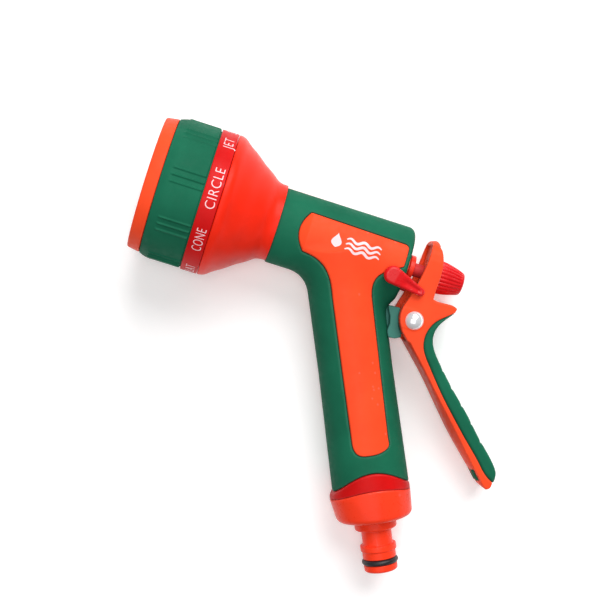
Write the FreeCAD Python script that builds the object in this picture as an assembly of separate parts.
"""Nine-pattern garden hose spray nozzle with a rear trigger, as separate working pieces.

Design axes, in millimetres, before the nozzle is laid down:
  +X runs rearward along the barrel, from the spray face at x = 0
  +Y is the nozzle's top side; the grip hangs towards -Y, raked rearward
  +Z is the nozzle's left side; the mid-plane is z = 0
The grip has its own axes: +X down the grip, +Y rearward across it, +Z to the left.
The last step lays the nozzle on its right side, the way it rests on a table.
"""
import FreeCAD, Part
import math
import os

from FreeCAD import Placement, Rotation, Vector

# ---------------------------------------------------------------- driving dimensions
FIT = 0.05                  # radial clearance of a running fit
SKIN_GAP = 0.30             # clearance between faces that slide past each other

# dial (turns about the barrel axis)
PATTERN_COUNT = 9
PATTERN_PITCH = 360.0 / PATTERN_COUNT
PATTERN_CIRCLE = 19.0       # radius on which the patterns and the water port sit
BEZEL_FRONT_R = 30.8
BEZEL_REAR_R = 31.9
BEZEL_END_X = 6.2
GRIP_RING_R = 33.7
RIB_PITCH = 5.5             # degrees between the three ribs of one group
RING_R = 33.6
RING_FRONT_X = 26.1
RING_END_X = 34.0
DIAL_BODY_R = 29.2          # outside of the inner pattern body
DIAL_BACK_X = 27.6
PLATE_FRONT_X = 2.0
PLATE_BACK_X = 4.6
CHAMBER_R = 5.6             # one water chamber behind each pattern
CHAMBER_END_X = 23.0
POST_R = 4.0                # fixed post that the dial turns on
POST_FRONT_X = 12.0

# bell housing and port plate
PORT_PLATE_X = 28.6
PORT_PLATE_END_X = 31.6
PORT_PLATE_R = 31.2
BELL_FRONT_X = 34.2
BELL_REAR_X = 63.5
BELL_PROFILE = [(37.0, 33.1), (40.0, 31.0), (45.0, 27.7), (50.0, 24.0), (55.0, 20.8), (58.0, 19.0), (60.0, 18.4)]
BELL_REAR_R = 18.1
BELL_WALL = 2.6
NECK_R = 9.0

# barrel and grip
BARREL_Y = -0.8             # the barrel's outer skin hangs a little below its water axis
BARREL_HALF_HEIGHT = 17.9
BARREL_HALF_WIDTH = 15.2
BARREL_REAR_X = 127.4
BARREL_REAR_ROUND = 3.5
CORE_R = 12.4
GRIP_X = 93.1               # where the grip axis crosses the barrel axis
GRIP_ANGLE = 65.0           # between the rearward barrel axis and the grip axis
GRIP_SECTIONS = [(6.0, 17.6, 15.2), (60.0, 17.4, 15.0), (117.5, 18.2, 17.4)]  # (along, half depth, half width)
GRIP_CORE_DEPTH = 13.4
GRIP_CORE_WIDTH = 11.8
GRIP_CORE_END = 121.0
WATER_R = 5.0
GRIP_WATER_R = 5.4          # the passage up the grip is a little wider than the bore of the tail

# red collar and inlet base, along the grip axis
COLLAR_TOP = 115.9
COLLAR_HUMP = 9.1
BASE_TOP = 118.4
BASE_HUMP = 3.6
HUMP_REACH = 19.0
BASE_END = 130.2
BASE_HALF_DEPTH = 18.4
BASE_HALF_WIDTH = 17.6

# male quick-connect tail, along the grip axis
FLANGE_END = 135.0
FLANGE_R = 9.95
LOCK_GROOVE_R = 7.2
LOCK_RING_X = 142.6
LOCK_RING_END = 145.5
LOCK_RING_R = 8.5
SPIGOT_R = 7.9
SPIGOT_END = 155.3
SEAL_X = 150.5
SEAL_GROOVE_R = 6.0
SEAL_GROOVE_HALF = 1.45
SEAL_SECTION_R = 1.3

# trigger, its pin and the lug that carries it
PIN_X = 135.8
PIN_Y = -23.9
PIN_R = 2.5
PIN_HEAD_R = 4.25
LEVER_HALF_WIDTH = 13.0
LEVER_TIP_HALF_WIDTH = 8.6
CHEEK_INNER = 9.6
LEVER_TOP_WALL_Y = 11.8     # the trigger's two cheeks are joined above this height
LUG_HALF_WIDTH = 7.5
WEB_FRONT_X = 135.4
WEB_REAR_X = 138.0

# valve
VALVE_Y = -1.2               # the valve, the stem and the knob sit a little below the dial's axis
VALVE_BORE_R = 6.5
VALVE_BORE_X = 78.0
VALVE_BORE_END = 111.0
GLAND_BORE_R = 4.8
STEM_R = 3.2
STEM_END_X = 148.0
SEAT_END_X = 81.0
PLUNGER_END_X = 86.0
PLUNGER_R = 5.4
GLAND_FLANGE_X = 127.45
GLAND_FLANGE_END = 129.6
GLAND_FLANGE_R = 6.2
STEM_GROOVES = (113.5, 117.0)
STEM_GROOVE_WIDTH = 1.6
SPRING_WIRE_R = 0.5
SPRING_COIL_R = 4.6
SPRING_TURNS = 7

# flow knob
KNOB_NOSE_X = 138.3
KNOB_NOSE_R = 5.5
KNOB_MAX_R = 7.8
KNOB_END_X = 154.2
KNOB_END_R = 5.2
KNOB_FLUTES = 24

# lock clip
CLIP_X = 119.4
CLIP_Y = -6.9
CLIP_TIP_X = 134.2
CLIP_TIP_Y = -10.6
CLIP_SHAFT_R = 1.2
CLIP_HEAD_R = 4.2
CLIP_TIP_R = 1.9
CLIP_INNER_Z = 15.5
CLIP_OUTER_Z = 18.9
CLIP_TIP_INNER_Z = 13.3
CLIP_TIP_OUTER_Z = 16.3

# how the nozzle lies: tipped until the dial's rim, the base and the trigger's tip all touch the table
REST_TILT_X = -1.283
REST_TILT_Y = 9.244


# ---------------------------------------------------------------- small helpers
def polygon(points):
    """A closed planar face through 3-D points."""
    return Part.Face(Part.makePolygon([Vector(*p) for p in points + points[:1]]))


def turned(profile):
    """A solid turned about the X axis from (x, radius) points."""
    face = polygon([(x, r, 0.0) for x, r in profile])
    return face.revolve(Vector(0, 0, 0), Vector(1, 0, 0), 360)


def rod(x0, x1, radius, y=0.0, z=0.0):
    """A round bar along X."""
    return Part.makeCylinder(radius, x1 - x0, Vector(x0, y, z), Vector(1, 0, 0))


def sleeve(x0, x1, inner, outer, y=0.0, z=0.0):
    """A round tube along X."""
    return rod(x0, x1, outer, y, z).cut(rod(x0 - 1, x1 + 1, inner, y, z))


def cross_rod(x, y, radius, z0, z1):
    """A round bar along Z."""
    return Part.makeCylinder(radius, z1 - z0, Vector(x, y, z0), Vector(0, 0, 1))


def plate(points, z0, z1):
    """A flat plate with a straight-sided outline in the XY plane."""
    return polygon([(x, y, z0) for x, y in points]).extrude(Vector(0, 0, z1 - z0))


def outline_plate(runs, z0, z1):
    """A plate whose outline is a chain of runs: two points make a line, more make a smooth curve."""
    edges = []
    for run in runs:
        points = [Vector(x, y, z0) for x, y in run]
        if len(points) == 2:
            edges.append(Part.makeLine(points[0], points[1]))
        else:
            curve = Part.BSplineCurve()
            curve.interpolate(points)
            edges.append(curve.toShape())
    face = Part.Face(Part.Wire(edges))
    return face.extrude(Vector(0, 0, z1 - z0))


def oval(x, half_y, half_z, y=0.0):
    """An elliptical wire across the X axis."""
    if half_y >= half_z:
        ellipse = Part.Ellipse(Vector(x, y + half_y, 0), Vector(x, y, half_z), Vector(x, y, 0))
    else:
        ellipse = Part.Ellipse(Vector(x, y, half_z), Vector(x, y + half_y, 0), Vector(x, y, 0))
    return Part.Wire(ellipse.toShape())


def oval_bar(x0, x1, half_y, half_z, y=0.0):
    """A straight bar of elliptical section along X."""
    return Part.Face(oval(x0, half_y, half_z, y)).extrude(Vector(x1 - x0, 0, 0))


def on_grip(shape):
    """Place a shape made along +X onto the grip axis."""
    placed = shape.copy()
    placed.Placement = Placement(Vector(GRIP_X, 0, 0), Rotation(Vector(0, 0, 1), -GRIP_ANGLE)).multiply(placed.Placement)
    return placed


def on_valve(shape):
    """Place a shape made about the X axis onto the valve's axis."""
    placed = shape.copy()
    placed.translate(Vector(0, VALVE_Y, 0))
    return placed


def around_dial(shape, count=PATTERN_COUNT, start=0.0):
    """Copies of a shape at equal turns about the barrel axis."""
    copies = []
    for index in range(count):
        copy = shape.copy()
        copy.rotate(Vector(0, 0, 0), Vector(1, 0, 0), start + index * 360.0 / count)
        copies.append(copy)
    return Part.makeCompound(copies)


# ---------------------------------------------------------------- dial
def front_bezel():
    return turned([
        (0.0, BEZEL_FRONT_R - 0.9), (0.9, BEZEL_FRONT_R), (BEZEL_END_X, BEZEL_REAR_R),
        (BEZEL_END_X, DIAL_BODY_R), (PLATE_FRONT_X, DIAL_BODY_R), (PLATE_FRONT_X, DIAL_BODY_R - 0.8),
        (0.0, DIAL_BODY_R - 0.4),
    ])


def ring_of_holes(radius, count, hole_r):
    """Small holes on a circle around the pattern centre, drilled through the spray plate."""
    holes = []
    for index in range(count):
        angle = 2 * math.pi * index / count
        holes.append(rod(0, 6, hole_r, radius * math.cos(angle), radius * math.sin(angle)))
    return holes


def slot_cut(length, width, turn=0.0):
    """A straight slot through the spray plate."""
    box = Part.makeBox(6, length, width, Vector(0, -length / 2, -width / 2))
    box.rotate(Vector(0, 0, 0), Vector(1, 0, 0), turn)
    return [box]


def pattern_cuts():
    """The nine openings of the spray plate, each about its own centre."""
    return [
        ring_of_holes(4.4, 14, 0.55) + ring_of_holes(2.4, 8, 0.55),                  # shower
        [rod(0, 6, 1.7)],                                                            # jet
        ring_of_holes(3.6, 10, 0.6),                                                 # circle
        [sleeve(0, 6, 2.4, 3.1).cut(Part.makeBox(8, 8, 0.8, Vector(-1, -4, -0.4)))],  # cone
        slot_cut(8.0, 1.2),                                                          # flat
        ring_of_holes(2.6, 3, 0.8),                                                  # mist
        ring_of_holes(3.4, 6, 1.1) + [rod(0, 6, 1.1)],                               # soaker
        slot_cut(7.6, 1.2, 45.0),                                                    # angle
        ring_of_holes(4.2, 12, 0.7) + [rod(0, 6, 1.3)],                              # full
    ]


def spray_plate():
    plate_disc = rod(PLATE_FRONT_X, PLATE_BACK_X, DIAL_BODY_R - 0.02)
    plate_disc = plate_disc.cut(rod(0, PLATE_BACK_X + 1, POST_R + 1.5))
    for index, cuts in enumerate(pattern_cuts()):
        for cut in cuts:
            cut.translate(Vector(0, PATTERN_CIRCLE, 0))
            cut.rotate(Vector(0, 0, 0), Vector(1, 0, 0), index * PATTERN_PITCH)
        plate_disc = plate_disc.cut(cuts)
    return plate_disc


def pattern_body():
    """Nine water chambers around a central bearing; the back wall has one port for each."""
    body = rod(PLATE_BACK_X, DIAL_BACK_X, DIAL_BODY_R - 0.02)
    chamber = rod(PLATE_BACK_X - 1, CHAMBER_END_X, CHAMBER_R, PATTERN_CIRCLE)
    port = rod(CHAMBER_END_X - 1, DIAL_BACK_X + 1, 2.4, PATTERN_CIRCLE)
    dimple = Part.makeSphere(1.6, Vector(DIAL_BACK_X + 0.9, 25.6, 0))
    body = body.cut([around_dial(chamber), around_dial(port), around_dial(dimple)])
    body = body.cut([rod(POST_FRONT_X - 1, DIAL_BACK_X + 1, POST_R + FIT)])
    return body.cut(rod(0, POST_FRONT_X, POST_R + 1.5))


def dial_grip():
    """Soft grip sleeve with nine groups of raised ribs."""
    sleeve_body = turned([
        (BEZEL_END_X, DIAL_BODY_R), (BEZEL_END_X, BEZEL_REAR_R), (8.5, 32.8), (11.0, GRIP_RING_R - 0.35),
        (RING_FRONT_X - 0.1, GRIP_RING_R - 0.35), (RING_FRONT_X - 0.1, DIAL_BODY_R),
    ])
    ribs = []
    for offset in (-RIB_PITCH, 0.0, RIB_PITCH):
        rib = Part.makeBox(14.6, 1.0, 0.9, Vector(11.0, GRIP_RING_R - 0.95, -0.45))
        rib.rotate(Vector(0, 0, 0), Vector(1, 0, 0), offset)
        ribs.append(around_dial(rib))
    return sleeve_body.fuse(ribs).removeSplitter()


def pattern_ring():
    return turned([
        (RING_FRONT_X, DIAL_BODY_R), (RING_FRONT_X, RING_R - 0.3), (RING_FRONT_X + 0.3, RING_R),
        (RING_END_X - 0.3, RING_R), (RING_END_X, RING_R - 0.3), (RING_END_X, PORT_PLATE_R + SKIN_GAP),
        (DIAL_BACK_X, PORT_PLATE_R + SKIN_GAP), (DIAL_BACK_X, DIAL_BODY_R),
    ])


def centre_cap():
    return turned([(1.4, 0.0), (1.4, 4.6), (2.2, 5.45), (5.0, 5.45), (5.0, 4.4), (3.2, 4.4), (3.2, 0.0)])


# ---------------------------------------------------------------- front end of the housing
def bell_housing():
    outer = [(PORT_PLATE_X, PORT_PLATE_R), (BELL_FRONT_X, PORT_PLATE_R), (BELL_FRONT_X, RING_R)]
    outer += BELL_PROFILE + [(BELL_REAR_X, BELL_REAR_R)]
    inner = [(BELL_REAR_X, NECK_R), (57.0, NECK_R)]
    inner += [(x - BELL_WALL * 0.6, r - BELL_WALL) for x, r in reversed(BELL_PROFILE[:-1])]
    inner += [(PORT_PLATE_X, PORT_PLATE_R - 2.2)]
    return turned(outer + inner)


def port_plate():
    """Fixed plate that closes the bell; its post carries the dial and one port feeds the chosen pattern."""
    disc = rod(PORT_PLATE_X, PORT_PLATE_END_X, PORT_PLATE_R - 2.25)
    post = rod(POST_FRONT_X, PORT_PLATE_X, POST_R)
    seal_pocket = rod(PORT_PLATE_X - 1, PORT_PLATE_END_X, 4.5, PATTERN_CIRCLE)
    spring_tube = sleeve(PORT_PLATE_END_X, PORT_PLATE_END_X + 4, 4.5, 5.5, PATTERN_CIRCLE)
    spring_stop = sleeve(PORT_PLATE_END_X + 3.2, PORT_PLATE_END_X + 4, 2.4, 4.6, PATTERN_CIRCLE)
    detent_tube = sleeve(PORT_PLATE_END_X, PORT_PLATE_END_X + 2.6, 1.7, 2.7, -25.6).cut(rod(30, 40, 0.9, -25.6))
    detent_pocket = rod(PORT_PLATE_X - 1, PORT_PLATE_END_X, 1.7, -25.6)
    screw_hole = rod(POST_FRONT_X - 1, POST_FRONT_X + 9, 1.5)
    return disc.fuse([post, spring_tube, spring_stop, detent_tube]).cut([seal_pocket, detent_pocket, screw_hole])


def port_seal():
    return sleeve(DIAL_BACK_X + 0.1, PORT_PLATE_X + 2.2, 2.5, 4.45, PATTERN_CIRCLE)


def coil(x0, x1, coil_r, wire_r, turns, y=0.0):
    """A compression spring wound about a line parallel to X."""
    pitch = (x1 - x0 - 2 * wire_r) / turns
    helix = Part.makeHelix(pitch, x1 - x0 - 2 * wire_r, coil_r)
    section = Part.Wire(Part.makeCircle(wire_r, Vector(coil_r, 0, 0), Vector(0, 1, 0)))
    spring = Part.Wire(helix).makePipeShell([section], True, True)
    spring.rotate(Vector(0, 0, 0), Vector(0, 1, 0), 90)
    spring.translate(Vector(x0 + wire_r, y, 0))
    return spring


def port_seal_spring():
    return coil(PORT_PLATE_X + 2.3, PORT_PLATE_END_X + 3.1, 3.6, 0.4, 2.5, PATTERN_CIRCLE)


def detent_ball():
    return Part.makeSphere(1.6, Vector(PORT_PLATE_X + 0.85, -25.6, 0))


def detent_spring():
    return coil(PORT_PLATE_X + 2.5, PORT_PLATE_END_X + 2.5, 1.2, 0.25, 4, -25.6)


def dial_screw():
    head = rod(POST_FRONT_X - 3.2, POST_FRONT_X - 1.0, 3.0)
    recess = Part.makeBox(1.2, 4.4, 0.8, Vector(POST_FRONT_X - 3.3, -2.2, -0.4))
    return head.cut(recess).fuse(rod(POST_FRONT_X - 1.0, POST_FRONT_X + 8, 1.48))


def dial_washer():
    return sleeve(POST_FRONT_X - 1.0, POST_FRONT_X - 0.05, 1.55, 5.0)


# ---------------------------------------------------------------- barrel, grip and side panels
def grip_wave(top, hump, x_end):
    """Cutter for the scalloped band at the grip's foot: all that lies below a wave along the sides."""
    steps = [HUMP_REACH * k / 4.0 for k in range(-4, 5)]
    crest = [(top - hump * math.cos(math.pi * w / (2 * HUMP_REACH)), w) for w in steps]
    runs = [
        crest,
        [crest[-1], (x_end, HUMP_REACH)],
        [(x_end, HUMP_REACH), (x_end, -HUMP_REACH)],
        [(x_end, -HUMP_REACH), crest[0]],
    ]
    return outline_plate(runs, -30, 30)


def barrel_skin():
    skin = oval_bar(BELL_REAR_X + 0.1, BARREL_REAR_X, BARREL_HALF_HEIGHT, BARREL_HALF_WIDTH, BARREL_Y)
    rear = [edge for edge in skin.Edges if abs(edge.CenterOfMass.x - BARREL_REAR_X) < 0.01]
    return skin.makeFillet(BARREL_REAR_ROUND, rear)


def grip_skin():
    wires = [oval(x, depth, width) for x, depth, width in GRIP_SECTIONS]
    return on_grip(Part.makeLoft(wires, True, False))


def outer_skin():
    return barrel_skin().fuse(grip_skin())


def lug():
    """Solid ear behind the grip that carries the trigger pin."""
    shank = plate([
        (112.0, -21.2), (131.0, -21.2), (PIN_X, PIN_Y + 5.8), (PIN_X, PIN_Y - 5.8),
        (132.0, -33.3), (129.4, -35.0), (112.0, -35.0),
    ], -LUG_HALF_WIDTH, LUG_HALF_WIDTH)
    return shank.fuse(cross_rod(PIN_X, PIN_Y, 5.8, -LUG_HALF_WIDTH, LUG_HALF_WIDTH))


def core_blank():
    """Hard core before its bores: barrel tube, grip tube, trigger lug and the spigot into the bell."""
    barrel = rod(BELL_REAR_X + 0.1, BARREL_REAR_X, CORE_R)
    grip = on_grip(oval_bar(0.0, GRIP_CORE_END, GRIP_CORE_DEPTH, GRIP_CORE_WIDTH))
    spigot = rod(58.0, BELL_REAR_X + 1, NECK_R - 0.02)
    return barrel.fuse([grip, spigot, lug()])


def cross_bores():
    """Bore of the lock clip's shaft, through everything it crosses."""
    return cross_rod(CLIP_X, CLIP_Y, CLIP_SHAFT_R + FIT, -30, 30)


def body_core(blank):
    water = rod(50, VALVE_BORE_X + 1, WATER_R)
    valve = on_valve(rod(VALVE_BORE_X, VALVE_BORE_END, VALVE_BORE_R))
    gland = on_valve(rod(VALVE_BORE_END - 1, BARREL_REAR_X + 1, GLAND_BORE_R))
    inlet = on_grip(rod(0.0, GRIP_CORE_END + 1, GRIP_WATER_R))
    pin = cross_rod(PIN_X, PIN_Y, PIN_R + 0.01, -20, 20)
    return blank.cut([water, valve, gland, inlet, pin, cross_bores()])


def panel_prism(side):
    """The side panel's outline, driven through one half of the grip; side is +1 (left) or -1 (right)."""
    runs = [
        [(72.6, 0.4), (75.8, 9.0)],
        [(75.8, 9.0), (121.4, 8.1)],
        [(121.4, 8.1), (123.0, 7.2), (123.3, 5.5)],
        [(123.3, 5.5), (123.3, -1.8)],
        [(123.3, -1.8), (119.5, -4.3), (116.0, -6.7), (113.6, -9.2), (112.4, -13.1), (112.9, -17.0), (115.1, -22.4)],
        [(115.1, -22.4), (140.6, -79.5)],
        [(140.6, -79.5), (141.8, -82.4), (140.1, -85.4), (134.1, -89.3), (129.2, -90.4), (126.7, -88.7), (125.2, -86.3)],
        [(125.2, -86.3), (96.4, -24.9)],
        [(96.4, -24.9), (92.5, -17.1), (88.5, -12.7), (83.6, -10.1), (76.8, -8.9)],
        [(76.8, -8.9), (72.6, 0.4)],
    ]
    near, far = sorted((0.0, side * 30.0))
    return outline_plate(runs, near, far)


def side_panel(skin, blank, side):
    return skin.common(panel_prism(side)).cut(blank).cut(cross_bores())


def soft_grip(skin, blank):
    grip = skin.cut(blank)
    grip = grip.cut([panel_prism(1), panel_prism(-1)])
    collar_space = on_grip(grip_wave(COLLAR_TOP, COLLAR_HUMP, 140.0))
    return grip.cut([collar_space, cross_bores()])


def base_skin():
    """Outer form of the collar and the base: an oval foot with rounded lower edge."""
    foot = oval_bar(100.0, BASE_END, BASE_HALF_DEPTH, BASE_HALF_WIDTH)
    lower = [edge for edge in foot.Edges if abs(edge.CenterOfMass.x - BASE_END) < 0.01]
    return foot.makeFillet(2.0, lower)


def base_collar():
    band = base_skin().common(grip_wave(COLLAR_TOP, COLLAR_HUMP, 140.0)).cut(grip_wave(BASE_TOP, BASE_HUMP, 150.0))
    return on_grip(band.cut(oval_bar(90.0, 150.0, GRIP_CORE_DEPTH + 0.02, GRIP_CORE_WIDTH + 0.02)))


def inlet_base():
    """Base that closes the grip and ends in the male quick-connect tail."""
    foot = base_skin().common(grip_wave(BASE_TOP, BASE_HUMP, 150.0))
    foot = foot.cut(oval_bar(100.0, GRIP_CORE_END + 0.05, GRIP_CORE_DEPTH + 0.02, GRIP_CORE_WIDTH + 0.02))
    tail = turned([
        (BASE_END - 4.0, 0.0), (BASE_END - 4.0, FLANGE_R), (FLANGE_END - 0.5, FLANGE_R), (FLANGE_END, FLANGE_R - 0.5),
        (FLANGE_END, LOCK_GROOVE_R), (LOCK_RING_X, LOCK_GROOVE_R), (LOCK_RING_X, LOCK_RING_R),
        (LOCK_RING_END - 0.8, LOCK_RING_R), (LOCK_RING_END, SPIGOT_R),
        (SEAL_X - SEAL_GROOVE_HALF, SPIGOT_R), (SEAL_X - SEAL_GROOVE_HALF, SEAL_GROOVE_R),
        (SEAL_X + SEAL_GROOVE_HALF, SEAL_GROOVE_R), (SEAL_X + SEAL_GROOVE_HALF, SPIGOT_R),
        (SPIGOT_END - 0.6, SPIGOT_R), (SPIGOT_END, SPIGOT_R - 0.8), (SPIGOT_END, 0.0),
    ])
    return on_grip(foot.fuse(tail).cut(rod(GRIP_CORE_END - 1, SPIGOT_END + 1, WATER_R)).removeSplitter())


def tail_seal():
    """O-ring in the tail's groove."""
    ring = Part.makeTorus(SEAL_GROOVE_R + SEAL_SECTION_R, SEAL_SECTION_R, Vector(SEAL_X, 0, 0), Vector(1, 0, 0))
    return on_grip(ring)


# ---------------------------------------------------------------- valve, stem and knob
def valve_seat():
    return on_valve(sleeve(VALVE_BORE_X, SEAT_END_X, 3.4, VALVE_BORE_R - 0.02))


def valve_stem():
    head = rod(SEAT_END_X + 1.6, PLUNGER_END_X - 2.0, PLUNGER_R)
    shoulder = rod(PLUNGER_END_X - 2.0, PLUNGER_END_X, 3.9)
    stem = rod(PLUNGER_END_X, STEM_END_X, STEM_R)
    shaft = head.fuse([shoulder, stem])
    for groove_x in STEM_GROOVES:
        shaft = shaft.cut(sleeve(groove_x, groove_x + STEM_GROOVE_WIDTH, 2.4, 5.0))
    return on_valve(shaft)


def plunger_seal():
    return on_valve(sleeve(SEAT_END_X + 0.1, SEAT_END_X + 1.6, 1.5, PLUNGER_R))


def stem_seals():
    rings = []
    for groove_x in STEM_GROOVES:
        middle = Vector(groove_x + STEM_GROOVE_WIDTH / 2, 0, 0)
        rings.append(Part.makeTorus(3.2, 0.75, middle, Vector(1, 0, 0)))
    return on_valve(Part.makeCompound(rings))


def valve_spring():
    return coil(PLUNGER_END_X + 0.05, VALVE_BORE_END - 0.05, SPRING_COIL_R, SPRING_WIRE_R, SPRING_TURNS, VALVE_Y)


def gland_nut():
    """Sleeve that holds the stem's seals, with a groove underneath that the clip's shaft passes through."""
    sleeve_part = sleeve(VALVE_BORE_END + 1.0, GLAND_FLANGE_X, 4.05, GLAND_BORE_R - 0.02)
    flange = sleeve(GLAND_FLANGE_X, GLAND_FLANGE_END, STEM_R + FIT, GLAND_FLANGE_R)
    shaft_groove = cross_rod(CLIP_X, CLIP_Y, CLIP_SHAFT_R + FIT, -10, 10)
    return on_valve(sleeve_part.fuse(flange)).cut(shaft_groove)


def flow_knob():
    """Fluted, tapering knob screwed on the stem; its nose pushes on the trigger's web."""
    form = turned([
        (KNOB_NOSE_X, 0.0), (KNOB_NOSE_X, KNOB_NOSE_R), (140.6, KNOB_MAX_R - 0.2), (143.5, KNOB_MAX_R),
        (147.5, KNOB_MAX_R - 0.7), (151.2, KNOB_END_R + 0.9), (KNOB_END_X - 0.5, KNOB_END_R), (KNOB_END_X, KNOB_END_R - 0.6),
        (KNOB_END_X, 0.0),
    ])
    axis_start = Vector(140.0, KNOB_MAX_R + 0.35, 0)
    slope = Vector(KNOB_END_X - 140.0, KNOB_END_R - KNOB_MAX_R + 0.3, 0)
    flute = Part.makeCylinder(0.55, slope.Length + 2, axis_start, slope)
    form = form.cut(around_dial(flute, KNOB_FLUTES))
    return on_valve(form.cut(rod(KNOB_NOSE_X - 1, STEM_END_X + 0.1, STEM_R + FIT)))


# ---------------------------------------------------------------- trigger, pin and pad
LEVER_FRONT = [(133.3, 11.7), (133.1, -0.2), (131.9, -8.1), (129.9, -16.0), (128.7, -21.9), (129.4, -25.9), (131.9, -30.3)]
LEVER_INSIDE = [(131.9, -30.3), (139.4, -37.4), (149.4, -47.0), (159.5, -58.3), (169.7, -69.5), (180.0, -79.0), (190.5, -88.5)]
LEVER_BACK = [(141.4, -12.0), (141.3, -8.0), (141.5, -2.1), (141.1, 3.8), (139.8, 8.8), (137.3, 13.7)]
SPUR_TOP = [(141.4, -12.0), (145.4, -12.4), (151.4, -12.1), (153.4, -12.9)]
PAD_LINE = [
    (153.4, -12.9), (152.9, -14.9), (148.9, -18.4), (146.2, -20.9), (143.8, -24.9), (142.9, -29.8), (143.9, -34.8),
    (148.6, -41.4), (158.2, -52.2), (167.4, -61.3), (176.5, -69.9), (185.6, -78.2), (191.0, -83.2), (194.9, -85.4),
]
PAD_BACK = [
    (153.3, -15.3), (150.9, -17.9), (148.7, -21.4), (147.7, -24.9), (147.9, -29.9), (150.1, -34.2),
    (156.0, -41.0), (163.1, -48.2), (175.4, -59.6), (182.6, -67.0), (192.9, -76.8), (195.8, -81.8), (195.3, -85.6),
]


def lever_width(half_top, half_tip):
    """Tapered block that gives the trigger its width, wide at the fork and narrow at the tip."""
    profile = [
        (120.0, 20.0, half_top), (120.0, -38.0, half_top), (120.0, -90.0, half_tip),
        (120.0, -90.0, -half_tip), (120.0, -38.0, -half_top), (120.0, 20.0, -half_top),
    ]
    return polygon(profile).extrude(Vector(80, 0, 0))


def trigger_lever():
    runs = [
        [(134.8, 14.3), (133.3, 11.7)],
        LEVER_FRONT,
        LEVER_INSIDE,
        [LEVER_INSIDE[-1], (192.7, -89.4)],
        [(192.7, -89.4), PAD_LINE[-1]],
        list(reversed(PAD_LINE[1:])),
        [PAD_LINE[1], PAD_LINE[0]],
        list(reversed(SPUR_TOP)),
        LEVER_BACK,
        [LEVER_BACK[-1], (134.8, 14.3)],
    ]
    lever = outline_plate(runs, -20, 20).common(lever_width(LEVER_HALF_WIDTH, LEVER_TIP_HALF_WIDTH))
    front_pocket = plate([
        (120, LEVER_TOP_WALL_Y), (WEB_FRONT_X, LEVER_TOP_WALL_Y), (WEB_FRONT_X, -17.5), (120, -17.5),
    ], -CHEEK_INNER, CHEEK_INNER)
    rear_pocket = plate([(WEB_REAR_X, 20), (160, 20), (160, -11.6), (WEB_REAR_X, -11.6)], -CHEEK_INNER, CHEEK_INNER)
    lug_room = LUG_HALF_WIDTH + 0.4
    lug_pocket = plate([
        (120, -16), (136, -16), (142.7, -23.9), (137.5, -31.5), (134.5, -39.5), (120, -39.5),
    ], -lug_room, lug_room).fuse(cross_rod(PIN_X, PIN_Y, 6.9, -lug_room, lug_room))
    stem_slot = on_valve(Part.makeBox(10, 10.6, 7.2, Vector(WEB_FRONT_X - 3, -4.3, -3.6)))
    pin_bore = cross_rod(PIN_X, PIN_Y, PIN_R + FIT, -30, 30)
    return lever.cut([front_pocket, rear_pocket, lug_pocket, stem_slot, pin_bore])


def trigger_pad():
    """Soft pad moulded along the back of the trigger, from the spur's underside to the tip."""
    runs = [
        PAD_LINE[1:],
        [PAD_LINE[-1], PAD_BACK[-1]],
        list(reversed(PAD_BACK)),
        [PAD_BACK[0], PAD_LINE[1]],
    ]
    return outline_plate(runs, -20, 20).common(lever_width(LEVER_HALF_WIDTH - 0.4, LEVER_TIP_HALF_WIDTH - 0.2))


def pivot_pin():
    shank = cross_rod(PIN_X, PIN_Y, PIN_R, -14.0, 14.0)
    dome_height = 2.2
    dome_r = (PIN_HEAD_R ** 2 + dome_height ** 2) / (2 * dome_height)
    seat_z = LEVER_HALF_WIDTH + 0.15
    ball = Part.makeSphere(dome_r, Vector(PIN_X, PIN_Y, seat_z + dome_height - dome_r))
    dome = ball.common(cross_rod(PIN_X, PIN_Y, PIN_HEAD_R + 1, seat_z, seat_z + 10))
    other = dome.mirror(Vector(0, 0, 0), Vector(0, 0, 1))
    return shank.fuse([dome, other])


# ---------------------------------------------------------------- lock clip
def clip_arm():
    """One tapered arm with its round head; it follows the grip's side and then steps in to the trigger."""
    head = cross_rod(CLIP_X, CLIP_Y, CLIP_HEAD_R, CLIP_INNER_Z, CLIP_OUTER_Z)
    along = Vector(CLIP_TIP_X - CLIP_X, CLIP_TIP_Y - CLIP_Y, 0)
    reach = along.Length
    slope = math.asin((CLIP_HEAD_R - CLIP_TIP_R) / reach)
    head_x, head_y = CLIP_HEAD_R * math.sin(slope), CLIP_HEAD_R * math.cos(slope)
    tip_x, tip_y = reach + CLIP_TIP_R * math.sin(slope), CLIP_TIP_R * math.cos(slope)
    blade = plate([(head_x, head_y), (tip_x, tip_y), (tip_x, -tip_y), (head_x, -head_y)], CLIP_TIP_INNER_Z, CLIP_OUTER_Z)
    blade = blade.fuse(cross_rod(reach, 0, CLIP_TIP_R, CLIP_TIP_INNER_Z, CLIP_OUTER_Z))
    side = polygon([
        (-6, -9, CLIP_INNER_Z), (reach - 3.6, -9, CLIP_INNER_Z), (reach - 1.6, -9, CLIP_TIP_INNER_Z),
        (reach + 4, -9, CLIP_TIP_INNER_Z), (reach + 4, -9, CLIP_TIP_OUTER_Z), (3.0, -9, CLIP_OUTER_Z),
        (-6, -9, CLIP_OUTER_Z),
    ]).extrude(Vector(0, 18, 0))
    blade = blade.common(side)
    blade.rotate(Vector(0, 0, 0), Vector(0, 0, 1), math.degrees(math.atan2(along.y, along.x)))
    blade.translate(Vector(CLIP_X, CLIP_Y, 0))
    return head.fuse(blade)


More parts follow.
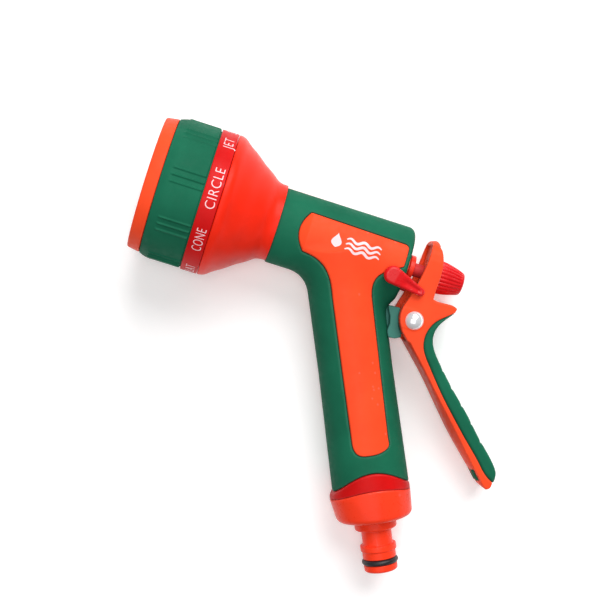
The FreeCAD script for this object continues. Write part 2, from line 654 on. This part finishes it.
def lock_clip():
    left = clip_arm()
    right = left.mirror(Vector(0, 0, 0), Vector(0, 0, 1))
    shaft = cross_rod(CLIP_X, CLIP_Y, CLIP_SHAFT_R, -CLIP_INNER_Z - 1, CLIP_INNER_Z + 1)
    return left.fuse([right, shaft])


# ---------------------------------------------------------------- assembly
def build_parts():
    skin = outer_skin()
    blank = core_blank()
    return {
        "front_bezel": front_bezel(),
        "spray_plate": spray_plate(),
        "pattern_body": pattern_body(),
        "dial_grip": dial_grip(),
        "pattern_ring": pattern_ring(),
        "centre_cap": centre_cap(),
        "bell_housing": bell_housing(),
        "port_plate": port_plate(),
        "port_seal": port_seal(),
        "port_seal_spring": port_seal_spring(),
        "detent_ball": detent_ball(),
        "detent_spring": detent_spring(),
        "dial_screw": dial_screw(),
        "dial_washer": dial_washer(),
        "body_core": body_core(blank),
        "soft_grip": soft_grip(skin, blank),
        "left_side_panel": side_panel(skin, blank, 1),
        "right_side_panel": side_panel(skin, blank, -1),
        "base_collar": base_collar(),
        "inlet_base": inlet_base(),
        "tail_seal": tail_seal(),
        "valve_seat": valve_seat(),
        "valve_spring": valve_spring(),
        "gland_nut": gland_nut(),
        "pivot_pin": pivot_pin(),
        "valve_stem": valve_stem(),
        "plunger_seal": plunger_seal(),
        "stem_seals": stem_seals(),
        "flow_knob": flow_knob(),
        "trigger_lever": trigger_lever(),
        "trigger_pad": trigger_pad(),
        "lock_clip": lock_clip(),
    }


def rest_placement(parts):
    """Lay the nozzle on its right side, with the middle of its footprint at the origin."""
    tilt = Rotation(Vector(1, 0, 0), REST_TILT_X).multiply(Rotation(Vector(0, 1, 0), REST_TILT_Y))
    laid = Part.makeCompound(list(parts.values()))
    laid.Placement = Placement(Vector(0, 0, 0), tilt)
    box = laid.optimalBoundingBox(False)
    return Placement(Vector(-box.Center.x, -box.Center.y, -box.ZMin), tilt)


def main():
    os.makedirs("parts", exist_ok=True)
    parts = build_parts()
    placement = rest_placement(parts)
    for name, shape in parts.items():
        shape.Placement = placement.multiply(shape.Placement)
        shape.exportStep("parts/" + name + ".step")


main()
